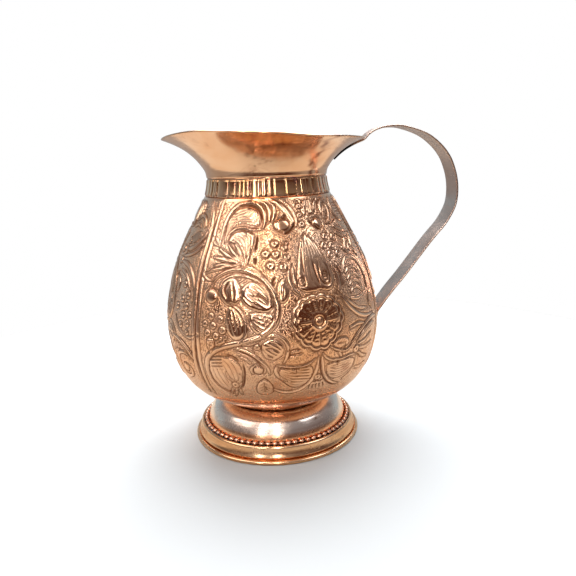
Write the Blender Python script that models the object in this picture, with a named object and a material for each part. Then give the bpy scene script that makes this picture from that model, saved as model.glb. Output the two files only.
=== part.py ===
"""Copper water jug: footed round belly, fluted neck collar, flared mouth with a pouring lip, strap handle.

Metres, +Z up. The jug's own axis stands at x = AXIS_X, the handle points along +X and the lip along -X,
so that the middle of the whole footprint is at the origin. Sections are (radius, height) pairs.
"""

import math

import bmesh
import bpy
import numpy as np

WALL = 0.0012

BELLY_R = 0.0750
HANDLE_REACH = 0.1346
AXIS_X = (BELLY_R - HANDLE_REACH) / 2

ROUND = 60
FINE = 64

# Wire ring that the jug stands on, with a narrow flat under it.
BASE_RING = (
    (0.0558, 0.0000),
    (0.0593, 0.0000),
    (0.0601, 0.0005),
    (0.0605, 0.0015),
    (0.0601, 0.0025),
    (0.0590, 0.0030),
    (0.0580, 0.0028),
    (0.0573, 0.0023),
    (0.0558, 0.0023),
)

# Plain band standing on the ring, rolled over at its shoulder.
SKIRT = (
    (0.0558, 0.0026),
    (0.0570, 0.0026),
    (0.0573, 0.0034),
    (0.0580, 0.0041),
    (0.0572, 0.0063),
    (0.0565, 0.0091),
    (0.0560, 0.0107),
    (0.0552, 0.0115),
    (0.0543, 0.0115),
    (0.0543, 0.0105),
    (0.0551, 0.0094),
    (0.0558, 0.0067),
)

BEADS = 72
BEAD_STEPS = 3
BEAD_R = 0.0525
BEAD_HALF = 0.0014
BEAD_BASE_Z = 0.0115
BEAD_TOP_Z = 0.0134
BEAD_UNDER_Z = 0.0103

# Spun foot: wide dome from the beads in to a narrow waist under the belly.
TRUMPET_OUT = (
    (0.0507, 0.0103),
    (0.0507, 0.0127),
    (0.0501, 0.0152),
    (0.0490, 0.0178),
    (0.0474, 0.0208),
    (0.0451, 0.0239),
    (0.0418, 0.0264),
    (0.0379, 0.0280),
    (0.0348, 0.0287),
    (0.0325, 0.0291),
    (0.0307, 0.0297),
    (0.0300, 0.0306),
    (0.0300, 0.0316),
)

# Half-round collar under the belly.
BASE_COLLAR = (
    (0.0344, 0.0316),
    (0.0344, 0.0309),
    (0.0350, 0.0300),
    (0.0361, 0.0295),
    (0.0373, 0.0295),
    (0.0384, 0.0301),
    (0.0389, 0.0310),
    (0.0387, 0.0316),
)

BELLY_FLOOR_Z = 0.0319
BELLY_OUT = (
    (0.0390, 0.0319),
    (0.0430, 0.0329),
    (0.0480, 0.0350),
    (0.0548, 0.0393),
    (0.0609, 0.0446),
    (0.0662, 0.0514),
    (0.0705, 0.0605),
    (0.0735, 0.0720),
    (0.0749, 0.0839),
    (0.0746, 0.0959),
    (0.0726, 0.1079),
    (0.0690, 0.1219),
    (0.0635, 0.1364),
    (0.0568, 0.1496),
    (0.0499, 0.1629),
    (0.0436, 0.1745),
)

FLUTES = 40
FLUTE_STEPS = 3
FLUTE_DEPTH = 0.0008
COLLAR_OUT = (
    (0.0434, 0.1748),
    (0.0426, 0.1774),
    (0.0418, 0.1809),
    (0.0413, 0.1841),
    (0.0413, 0.1865),
)

MOUTH_LOW_R = 0.0413
MOUTH_LOW_Z = 0.1868
# Share of the flare's reach against share of its height.
FLARE_T = (0.0, 0.15, 0.30, 0.45, 0.60, 0.73, 0.84, 0.93, 1.0)
FLARE_G = (0.0, 0.025, 0.105, 0.21, 0.345, 0.495, 0.665, 0.84, 1.0)
# Rim radius and height against degrees round from the pouring lip.
RIM_AT = (0.0, 20.0, 42.0, 62.0, 90.0, 110.0, 140.0, 180.0)
RIM_R = (0.0694, 0.0672, 0.0652, 0.0650, 0.0652, 0.0656, 0.0664, 0.0672)
RIM_Z = (0.2126, 0.2139, 0.2150, 0.2140, 0.2121, 0.2101, 0.2094, 0.2095)

# Outer face of the strap, as (distance from the jug's axis, height), from under the flare to its tail.
STRAP_PATH = (
    (0.0470, 0.1967),
    (0.0505, 0.2001),
    (0.0543, 0.2030),
    (0.0587, 0.2055),
    (0.0633, 0.2075),
    (0.0675, 0.2091),
    (0.0690, 0.2107),
    (0.0710, 0.2129),
    (0.0760, 0.2158),
    (0.0835, 0.2175),
    (0.0923, 0.2177),
    (0.1000, 0.2160),
    (0.1079, 0.2132),
    (0.1136, 0.2103),
    (0.1190, 0.2062),
    (0.1240, 0.2013),
    (0.1283, 0.1954),
    (0.1312, 0.1891),
    (0.1334, 0.1819),
    (0.1345, 0.1744),
    (0.1344, 0.1669),
    (0.1331, 0.1604),
    (0.1300, 0.1539),
    (0.1258, 0.1474),
    (0.1200, 0.1409),
    (0.1151, 0.1352),
    (0.1085, 0.1269),
    (0.1020, 0.1187),
    (0.0953, 0.1104),
    (0.0879, 0.1018),
    (0.0835, 0.0962),
    (0.0797, 0.0910),
    (0.0772, 0.0873),
    (0.0765, 0.0841),
    (0.0763, 0.0794),
    (0.0758, 0.0751),
)
# Full width against the share of that run.
STRAP_AT = (0.0, 0.06, 0.20, 0.36, 0.90, 1.0)
STRAP_WIDTH = (0.0060, 0.0100, 0.0145, 0.0200, 0.0200, 0.0130)
STRAP_THICK = 0.0012


def clear_scene():
    for obj in list(bpy.data.objects):
        bpy.data.objects.remove(obj)


def metal(name, colour, roughness):
    material = bpy.data.materials.new(name)
    material.use_nodes = True
    shader = material.node_tree.nodes["Principled BSDF"]
    shader.inputs["Base Color"].default_value = (*colour, 1.0)
    shader.inputs["Metallic"].default_value = 1.0
    shader.inputs["Roughness"].default_value = roughness
    return material


def add_object(name, verts, faces, origin, material, sharp_deg):
    mesh = bpy.data.meshes.new(name)
    local = np.asarray(verts) - np.asarray(origin)
    mesh.from_pydata(local.tolist(), [], faces)
    shape = bmesh.new()
    shape.from_mesh(mesh)
    bmesh.ops.recalc_face_normals(shape, faces=shape.faces)
    shape.to_mesh(mesh)
    shape.free()
    mesh.shade_smooth()
    mesh.set_sharp_from_angle(angle=math.radians(sharp_deg))
    mesh.materials.append(material)
    obj = bpy.data.objects.new(name, mesh)
    obj.location = origin
    bpy.context.scene.collection.objects.link(obj)
    return obj


def around(r, angle, z):
    return (AXIS_X + r * math.cos(angle), r * math.sin(angle), z)


def closed_loops(count, size):
    """Faces that join each of count closed loops of size points to the next, and the last to the first."""
    faces = []
    for i in range(count):
        a = i * size
        b = ((i + 1) % count) * size
        for j in range(size):
            k = (j + 1) % size
            faces.append((a + j, b + j, b + k, a + k))
    return faces


def turned(name, section, origin_z, material, segments=ROUND, sharp_deg=40):
    """Solid ring: the closed section carried once round the jug's axis."""
    verts = []
    for i in range(segments):
        angle = 2 * math.pi * i / segments
        verts.extend(around(r, angle, z) for r, z in section)
    faces = closed_loops(segments, len(section))
    return add_object(name, verts, faces, (AXIS_X, 0.0, origin_z), material, sharp_deg)


def offset_section(points, distance):
    """The open line moved sideways, to the left of its run."""
    line = np.asarray(points, float)
    run = np.gradient(line, axis=0)
    run /= np.linalg.norm(run, axis=1)[:, None]
    side = np.stack([-run[:, 1], run[:, 0]], axis=1)
    return line + side * distance


def smooth_row(at, values, where):
    """Values between the given ones on a soft curve, level at both ends."""
    at = np.asarray(at)
    values = np.asarray(values)
    slope = np.gradient(values, at)
    slope[0] = 0.0
    slope[-1] = 0.0
    i = int(np.clip(np.searchsorted(at, where, side="right") - 1, 0, len(at) - 2))
    span = at[i + 1] - at[i]
    t = (where - at[i]) / span
    start = values[i] * (2 * t**3 - 3 * t**2 + 1) + slope[i] * span * (t**3 - 2 * t**2 + t)
    end = values[i + 1] * (3 * t**2 - 2 * t**3) + slope[i + 1] * span * (t**3 - t**2)
    return float(start + end)


def make_trumpet(material):
    outer = np.asarray(TRUMPET_OUT)
    inner = offset_section(outer, WALL)
    inner[0] = (outer[0][0] - WALL, outer[0][1])
    inner[-1] = (outer[-1][0] - WALL, outer[-1][1])
    section = [tuple(p) for p in outer] + [tuple(p) for p in inner[::-1]]
    turned("foot_trumpet", section, BEAD_UNDER_Z, material)


def make_bead_ring(material):
    half = BEAD_HALF
    lift = (0.0, 1.0, 1.0)
    verts = []
    for i in range(BEADS * BEAD_STEPS):
        angle = 2 * math.pi * i / (BEADS * BEAD_STEPS)
        high = BEAD_BASE_Z + (BEAD_TOP_Z - BEAD_BASE_Z) * lift[i % BEAD_STEPS]
        verts.append(around(BEAD_R - half, angle, BEAD_UNDER_Z))
        verts.append(around(BEAD_R - half, angle, BEAD_BASE_Z))
        verts.append(around(BEAD_R, angle, high))
        verts.append(around(BEAD_R + half, angle, BEAD_BASE_Z))
        verts.append(around(BEAD_R + half, angle, BEAD_UNDER_Z))
    faces = closed_loops(BEADS * BEAD_STEPS, 5)
    add_object("bead_ring", verts, faces, (AXIS_X, 0.0, BEAD_UNDER_Z), material, 75)


def make_belly(material):
    outer = np.asarray(BELLY_OUT)
    inner = offset_section(outer, WALL)
    inner[-1] = (outer[-1][0] - WALL, outer[-1][1])
    floor = BELLY_FLOOR_Z + WALL
    inner = inner[inner[:, 1] > floor + 0.0004]
    inner[0][1] = floor
    wall = [tuple(p) for p in outer] + [tuple(p) for p in inner[::-1]]
    verts = []
    for i in range(ROUND):
        angle = 2 * math.pi * i / ROUND
        verts.extend(around(r, angle, z) for r, z in wall)
    size = len(wall)
    faces = []
    for i in range(ROUND):
        a = i * size
        b = ((i + 1) % ROUND) * size
        for j in range(size - 1):
            faces.append((a + j, b + j, b + j + 1, a + j + 1))
    faces.append(tuple(i * size for i in range(ROUND)))
    faces.append(tuple(i * size + size - 1 for i in range(ROUND)))
    add_object("belly", verts, faces, (AXIS_X, 0.0, BELLY_FLOOR_Z), material, 40)


def make_neck_collar(material):
    hollow = (1.0, 0.0, 0.0)
    count = FLUTES * FLUTE_STEPS
    verts = []
    for i in range(count):
        angle = 2 * math.pi * i / count
        cut = FLUTE_DEPTH * hollow[i % FLUTE_STEPS]
        last = len(COLLAR_OUT) - 1
        for j, (r, z) in enumerate(COLLAR_OUT):
            fade = 0.3 if j in (0, last) else 1.0
            verts.append(around(r - cut * fade, angle, z))
        verts.append(around(COLLAR_OUT[-1][0] - FLUTE_DEPTH - WALL, angle, COLLAR_OUT[-1][1]))
        verts.append(around(COLLAR_OUT[2][0] - FLUTE_DEPTH - WALL, angle, COLLAR_OUT[2][1]))
        verts.append(around(COLLAR_OUT[0][0] - FLUTE_DEPTH - WALL, angle, COLLAR_OUT[0][1]))
    faces = closed_loops(count, len(COLLAR_OUT) + 3)
    add_object("neck_collar", verts, faces, (AXIS_X, 0.0, COLLAR_OUT[0][1]), material, 60)


def flare_section(from_lip):
    """Closed wall section of the mouth at so many degrees round from the pouring lip."""
    rim_r = smooth_row(RIM_AT, RIM_R, from_lip)
    rim_z = smooth_row(RIM_AT, RIM_Z, from_lip)
    outer = []
    for t, g in zip(FLARE_T, FLARE_G):
        r = MOUTH_LOW_R + (rim_r - MOUTH_LOW_R) * g
        z = MOUTH_LOW_Z + (rim_z - MOUTH_LOW_Z) * t
        outer.append((r, z))
    inner = offset_section(outer, WALL)
    inner[0] = (MOUTH_LOW_R - WALL, MOUTH_LOW_Z)
    edge = (np.asarray(outer[-1]) + inner[-1]) / 2
    edge += (0.0004, 0.0002)
    return outer + [tuple(edge)] + [tuple(p) for p in inner[::-1]]


def make_mouth(material):
    verts = []
    size = 0
    for i in range(FINE):
        angle = 2 * math.pi * i / FINE
        from_lip = abs(180.0 - math.degrees(angle))
        section = flare_section(from_lip)
        size = len(section)
        verts.extend(around(r, angle, z) for r, z in section)
    faces = closed_loops(FINE, size)
    add_object("mouth_flare", verts, faces, (AXIS_X, 0.0, MOUTH_LOW_Z), material, 40)


def strap_width(share):
    """Full width of the strap at this share of its run: its two ends are tapered tongues."""
    return float(np.interp(share, STRAP_AT, STRAP_WIDTH))


def strap_bend(share, r):
    """How far the strap is curved across, so that both its ends lie round the body."""
    top = float(np.clip((0.22 - share) / 0.06, 0.0, 1.0))
    tail = max(0.0, (share - 0.86) / 0.14)
    return max(top, tail) / r


def make_strap(material):
    path = np.asarray(STRAP_PATH)
    run = np.gradient(path, axis=0)
    run /= np.linalg.norm(run, axis=1)[:, None]
    inward = np.stack([run[:, 1], -run[:, 0]], axis=1)
    verts = []
    last = len(path) - 1
    for i, (point, side) in enumerate(zip(path, inward)):
        half = strap_width(i / last) / 2
        bend = strap_bend(i / last, point[0])
        across = (-1.0, -0.94, -0.5, 0.0, 0.5, 0.94, 1.0, 0.94, 0.5, 0.0, -0.5, -0.94)
        depth = (0.5, 0.0, 0.0, 0.0, 0.0, 0.0, 0.5, 1.0, 1.0, 1.0, 1.0, 1.0)
        for a, d in zip(across, depth):
            y = a * half
            at = point + side * (STRAP_THICK * d)
            at = at - np.array([bend * y * y / 2, 0.0])
            verts.append((AXIS_X + at[0], y, at[1]))
    size = 12
    faces = []
    for i in range(last):
        a = i * size
        b = (i + 1) * size
        for j in range(size):
            k = (j + 1) % size
            faces.append((a + j, b + j, b + k, a + k))
    for a in (0, last * size):
        for j, k in ((1, 11), (2, 10), (3, 9), (4, 8)):
            faces.append((a + j, a + j + 1, a + k - 1, a + k))
        faces.append((a, a + 1, a + 11))
        faces.append((a + 5, a + 6, a + 7))
    origin = (AXIS_X + path[0][0], 0.0, path[0][1])
    add_object("handle_strap", verts, faces, origin, material, 40)


def main():
    clear_scene()
    warm = metal("worked_copper", (0.72, 0.44, 0.29), 0.30)
    bright = metal("polished_copper", (0.78, 0.46, 0.30), 0.16)
    pale = metal("pale_copper", (0.74, 0.58, 0.47), 0.24)
    brown = metal("strap_copper", (0.52, 0.40, 0.32), 0.32)
    turned("base_ring", BASE_RING, 0.0, pale, FINE, 50)
    turned("foot_skirt", SKIRT, SKIRT[0][1], bright, FINE)
    make_bead_ring(warm)
    make_trumpet(pale)
    turned("base_collar", BASE_COLLAR, BASE_COLLAR[0][1], bright)
    make_belly(warm)
    make_neck_collar(warm)
    make_mouth(bright)
    make_strap(brown)


main()
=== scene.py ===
"""Looks of the copper water jug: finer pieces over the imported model, copper finishes, floor, lights, camera.

Metres, +Z up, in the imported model's frame. The jug's axis stands at x = AXIS_X and the handle is on +X.
Places on the belly are given as (degrees round, millimetres up): 0 degrees faces -Y, 90 faces the handle.
"""

import math

import bpy
import numpy as np
from mathutils import Matrix, Vector


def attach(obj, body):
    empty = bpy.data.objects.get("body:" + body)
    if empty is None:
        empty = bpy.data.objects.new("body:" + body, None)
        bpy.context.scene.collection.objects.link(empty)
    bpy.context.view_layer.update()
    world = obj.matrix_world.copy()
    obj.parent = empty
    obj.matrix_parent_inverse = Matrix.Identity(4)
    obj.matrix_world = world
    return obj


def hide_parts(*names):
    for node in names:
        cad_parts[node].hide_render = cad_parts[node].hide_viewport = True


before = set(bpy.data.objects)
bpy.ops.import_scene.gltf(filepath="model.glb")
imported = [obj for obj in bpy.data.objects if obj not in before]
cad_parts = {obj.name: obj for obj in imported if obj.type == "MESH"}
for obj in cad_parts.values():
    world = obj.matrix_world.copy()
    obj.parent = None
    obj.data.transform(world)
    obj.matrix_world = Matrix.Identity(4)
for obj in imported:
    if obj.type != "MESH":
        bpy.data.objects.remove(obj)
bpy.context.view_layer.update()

BELLY_R = 0.0750
STRAP_REACH = 0.1346
AXIS_X = (BELLY_R - STRAP_REACH) / 2
WALL = 0.0012

# Outlines are places that a soft curve runs through, as (distance from the axis, height).
BASE_RING = (
    (0.0560, 0.0002), (0.0590, 0.0000), (0.0601, 0.0005), (0.0605, 0.0015), (0.0601, 0.0025),
    (0.0590, 0.0030), (0.0580, 0.0028), (0.0573, 0.0023), (0.0558, 0.0021), (0.0556, 0.0010),
)
SKIRT = (
    (0.0558, 0.0027), (0.0570, 0.0026), (0.0574, 0.0034), (0.0580, 0.0042), (0.0577, 0.0052),
    (0.0572, 0.0064), (0.0567, 0.0081), (0.0564, 0.0096), (0.0561, 0.0107), (0.0554, 0.0114),
    (0.0546, 0.0114), (0.0543, 0.0107), (0.0551, 0.0093), (0.0558, 0.0066),
)
TRUMPET = (
    (0.0507, 0.0104), (0.0507, 0.0127), (0.0501, 0.0152), (0.0490, 0.0178), (0.0474, 0.0208),
    (0.0451, 0.0239), (0.0418, 0.0264), (0.0379, 0.0280), (0.0348, 0.0287), (0.0325, 0.0291),
    (0.0307, 0.0297), (0.0301, 0.0306), (0.0301, 0.0316),
)
BASE_COLLAR = (
    (0.0345, 0.0316), (0.0345, 0.0308), (0.0352, 0.0299), (0.0366, 0.0294), (0.0380, 0.0298),
    (0.0388, 0.0308), (0.0387, 0.0316), (0.0366, 0.0317),
)
BEADS = 72
BEAD_R = 0.0525
BEAD_Z = 0.0119
BEAD_SIZE = 0.0014

BELLY = (
    (0.0390, 0.0319), (0.0430, 0.0329), (0.0480, 0.0350), (0.0548, 0.0393), (0.0609, 0.0446),
    (0.0662, 0.0514), (0.0705, 0.0605), (0.0735, 0.0720), (0.0749, 0.0839), (0.0746, 0.0959),
    (0.0726, 0.1079), (0.0690, 0.1219), (0.0635, 0.1364), (0.0568, 0.1496), (0.0499, 0.1629),
    (0.0436, 0.1745),
)
BELLY_UNDER = ((0.0004, 0.0319), (0.0200, 0.0319), (0.0360, 0.0319))
BELLY_FLOOR = ((0.0360, 0.0333), (0.0180, 0.0331), (0.0004, 0.0331))
COLLAR = (
    (0.0434, 0.1748), (0.0427, 0.1772), (0.0420, 0.1800), (0.0414, 0.1836), (0.0413, 0.1866),
)
COLLAR_BACK = ((0.0391, 0.1866), (0.0398, 0.1806), (0.0414, 0.1748))
FLUTES = 40
FLUTE_PITCH = 6.6

MOUTH_LOW_R = 0.0413
MOUTH_LOW_Z = 0.1868
# The flare: share of its height, and share of its widening there. The rim: degrees round from the lip.
FLARE_T = (0.0, 0.15, 0.30, 0.45, 0.60, 0.73, 0.84, 0.93, 1.0)
FLARE_G = (0.0, 0.025, 0.105, 0.21, 0.345, 0.495, 0.665, 0.84, 1.0)
RIM_AT = (0.0, 20.0, 42.0, 62.0, 90.0, 110.0, 140.0, 180.0)
RIM_R = (0.0694, 0.0672, 0.0652, 0.0650, 0.0652, 0.0656, 0.0664, 0.0672)
RIM_Z = (0.2126, 0.2139, 0.2150, 0.2140, 0.2121, 0.2101, 0.2094, 0.2095)

STRAP = (
    (0.0470, 0.1967), (0.0505, 0.2001), (0.0543, 0.2030), (0.0587, 0.2055), (0.0633, 0.2075),
    (0.0675, 0.2091), (0.0690, 0.2107), (0.0710, 0.2129), (0.0760, 0.2158), (0.0835, 0.2175),
    (0.0923, 0.2177), (0.1000, 0.2160), (0.1079, 0.2132), (0.1136, 0.2103), (0.1190, 0.2062),
    (0.1240, 0.2013), (0.1283, 0.1954), (0.1312, 0.1891), (0.1334, 0.1819), (0.1345, 0.1744),
    (0.1344, 0.1669), (0.1331, 0.1604), (0.1300, 0.1539), (0.1258, 0.1474), (0.1200, 0.1409),
    (0.1151, 0.1352), (0.1085, 0.1269), (0.1020, 0.1187), (0.0953, 0.1104), (0.0879, 0.1018),
    (0.0835, 0.0962), (0.0797, 0.0910), (0.0772, 0.0873), (0.0765, 0.0841), (0.0763, 0.0794),
    (0.0758, 0.0751),
)
# Widths of the strap at these shares of its length.
STRAP_AT = (0.0, 0.06, 0.20, 0.36, 0.90, 1.0)
STRAP_WIDTH = (0.0060, 0.0100, 0.0145, 0.0200, 0.0200, 0.0130)
STRAP_THICK = 0.0012

# Raised lines: half width and height in millimetres, then the places that the line runs through.
STEMS = (
    (1.3, 0.9, (
        (-57, 173), (-52, 167), (-49.5, 159), (-48.5, 148), (-48.5, 130), (-48, 112), (-48, 95),
        (-49, 80), (-49.5, 70), (-48.5, 60), (-46.5, 50),
    )),
    (1.2, 0.9, (
        (-44, 173), (-44, 160), (-44.3, 145), (-44.5, 128), (-44.5, 110), (-44.8, 92), (-45, 78),
        (-45, 66), (-44, 56), (-42.5, 49),
    )),
    (1.6, 1.2, (
        (-38.5, 120), (-36.5, 126), (-32, 130.5), (-26, 133), (-19, 133), (-12, 130), (-7, 124.5),
        (-3.7, 118), (-2.4, 110), (-3.6, 103), (-7, 97.5), (-12, 93.5), (-18, 91), (-25, 88.5),
        (-31, 86), (-36, 82.3), (-39.3, 78), (-41, 72), (-41, 65), (-38.8, 58.5), (-34, 54),
        (-28, 51.5),
    )),
    (0.8, 0.9, ((-33, 121), (-31, 126), (-26, 129.3), (-18, 129.3), (-11, 126), (-7, 120.5), (-5.6, 114))),
    (1.0, 1.0, ((-25.5, 113), (-21.5, 109.5), (-19, 105), (-17.8, 99), (-18.5, 94), (-21, 90.5))),
    (1.0, 0.9, ((-43, 130), (-38, 132.3), (-31, 134.2), (-22, 135.4), (-14, 133.5), (-8.5, 129))),
    (1.2, 1.1, (
        (-37.5, 146), (-37.3, 154), (-36.5, 161), (-33.5, 167), (-27, 171), (-19, 172.3), (-12, 170.3),
        (-8.3, 166), (-7.5, 160.5), (-9, 156.5),
    )),
    (0.8, 0.9, ((-33, 149), (-32, 153), (-28, 156.4), (-22, 157.3), (-15, 156), (-10.5, 156.3))),
    (1.1, 1.0, ((-11, 173), (-6.2, 170), (-4, 165.5), (-4.6, 160.5))),
    (1.0, 0.9, ((-5, 173), (-1, 169.5), (-0.5, 165), (-2.6, 160.8))),
    (1.6, 1.2, ((-3, 173), (2, 171.3), (6.5, 167.8), (9.5, 163.5), (11.3, 159.5), (9, 156), (4.5, 153.8))),
    (0.9, 0.8, ((5, 173), (10, 170), (13.4, 165.5), (14.6, 160.5), (13.4, 156.5))),
    (1.4, 1.0, ((22, 163.5), (23, 168), (26.5, 172.5))),
    (0.7, 0.8, ((25.5, 161.6), (29.5, 162.4), (33.5, 160.4), (35.7, 156.5), (36, 151))),
    (1.0, 0.8, ((31.5, 164.5), (33, 168.5), (37, 172))),
    (1.3, 1.0, ((38, 163), (39.5, 167.5), (43.5, 171), (47.5, 169), (46.8, 164.5), (44, 160), (41, 158))),
    (1.0, 0.9, ((45, 154.5), (50, 152.6), (57, 150))),
    (1.0, 0.9, ((44, 150.5), (49, 148.2), (54, 146))),
    (1.0, 0.9, ((46, 139.5), (49, 143), (52, 147))),
    (1.4, 1.1, ((37, 126), (40, 131), (45, 134.6), (51.5, 133.6), (55.5, 129), (58, 121), (57.5, 113))),
    (0.8, 0.7, ((39.5, 125.5), (43.5, 128.6), (48.5, 128), (52, 124))),
    (0.8, 0.7, ((39.5, 121.3), (43.5, 124.4), (48, 123.8), (51.8, 119.8))),
    (0.8, 0.7, ((39.5, 117.2), (43.5, 120.2), (47.8, 119.6), (51, 115.8))),
    (0.8, 0.7, ((40, 113), (43.5, 116), (47.5, 115.4), (50.5, 112))),
    (1.2, 1.0, ((37.5, 82.6), (43, 87.2), (50, 91), (58, 92.6), (65, 91))),
    (1.0, 0.9, ((41, 80.8), (46, 84.8), (52, 87.8), (60, 88.4))),
    (1.1, 0.9, ((32, 114), (35, 108.5), (39, 103), (44, 98.4), (51, 95.6), (60, 95))),
    (0.8, 0.8, ((35, 112), (39, 107), (45, 102.4), (53, 100.5))),
    (1.1, 0.9, ((-6, 57.8), (-2, 55.2), (3, 54.4), (8, 56), (12, 59.6), (14.6, 64), (16, 70), (16.8, 78))),
    (0.9, 0.8, ((-4.2, 75), (-4.8, 70.5), (-3, 66.5), (0.5, 63.6))),
    (0.8, 0.8, ((-4.2, 75), (1, 73.6), (6, 73), (11, 73.8), (15, 77))),
    (0.9, 0.8, ((18.6, 78), (19, 72), (20, 66), (22.5, 60.4), (26.5, 56.4), (32, 53.6))),
    (0.8, 0.8, ((18.8, 79.5), (21.3, 75.6), (25, 73.4), (31, 72.8), (37, 73.4), (42, 71.5))),
    (1.0, 0.8, ((42, 71.5), (42.5, 65), (39.5, 59.5), (34, 56))),
    (0.8, 0.8, ((23, 83), (27, 80), (32, 77.8), (36, 79.5), (38.5, 84))),
    (1.5, 1.0, ((-49, 157), (-52, 152), (-56.5, 147), (-62, 143.6), (-70, 141.6))),
    (1.0, 0.9, ((-50, 147), (-55, 142.6), (-61, 139.6), (-70, 137.6))),
    (1.4, 1.0, ((-49, 116), (-51, 123.5), (-55, 129.5), (-61, 133.4), (-70, 134.6))),
    (0.9, 0.8, ((-53, 118), (-56, 124), (-61, 128), (-67, 129.6))),
    (1.0, 0.8, ((-66, 116), (-65, 122), (-69, 126))),
    (1.2, 0.9, ((-50, 74), (-53, 79), (-58, 83.2), (-65, 85.6), (-72, 85.6))),
    (1.0, 0.9, (
        (-51.5, 72), (-54.5, 75), (-59, 76.5), (-64.5, 74), (-66.5, 68), (-64.5, 62), (-59.5, 59),
        (-55, 61.5), (-54.8, 66), (-58, 68.5),
    )),
    (0.8, 0.7, ((-45, 92), (-51, 88.6), (-57, 90.6), (-62, 95), (-64.5, 101))),
    (0.7, 0.7, ((-15.8, 69.2), (-16.6, 72.2), (-14.6, 75.4), (-11.4, 75.4), (-9.6, 72.8), (-10.4, 69.4))),
    (0.7, 0.7, ((-22, 81), (-18.5, 79), (-16.5, 76.6))),
    (0.8, 0.8, ((-24, 86.6), (-18, 84.4), (-12.4, 79.4), (-9, 74), (-7.4, 69))),
    (0.8, 0.8, ((-10.5, 92.5), (-5.5, 94.6), (-1, 92.4), (1.5, 87), (0.6, 80), (-0.8, 76.5))),
    (1.0, 0.9, ((4.4, 132), (4.3, 126), (6, 121), (9, 117))),
    (0.9, 0.8, ((6.8, 134), (7, 127.5), (7.8, 122))),
    (1.1, 0.9, ((30.5, 134), (32.5, 127), (33, 120), (31.5, 116))),
    (0.9, 0.8, ((34, 133), (36, 126), (35.8, 119))),
    (0.8, 0.7, ((16.5, 172), (20.5, 172.6), (22.3, 168.8))),
    (1.1, 0.8, ((-71, 160), (-65, 163.5), (-59, 162), (-55, 157))),
    (0.8, 0.7, ((-71, 156), (-66, 158), (-61, 156.4))),
    (0.9, 0.8, ((56, 172), (53, 167), (53.5, 161), (58, 157.5), (64, 157))),
    (0.9, 0.8, ((62, 149), (58, 144.5), (56, 139), (58, 134))),
    (0.9, 0.8, ((62, 110), (57.5, 107.5), (56, 103), (58.5, 99))),
)

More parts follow.
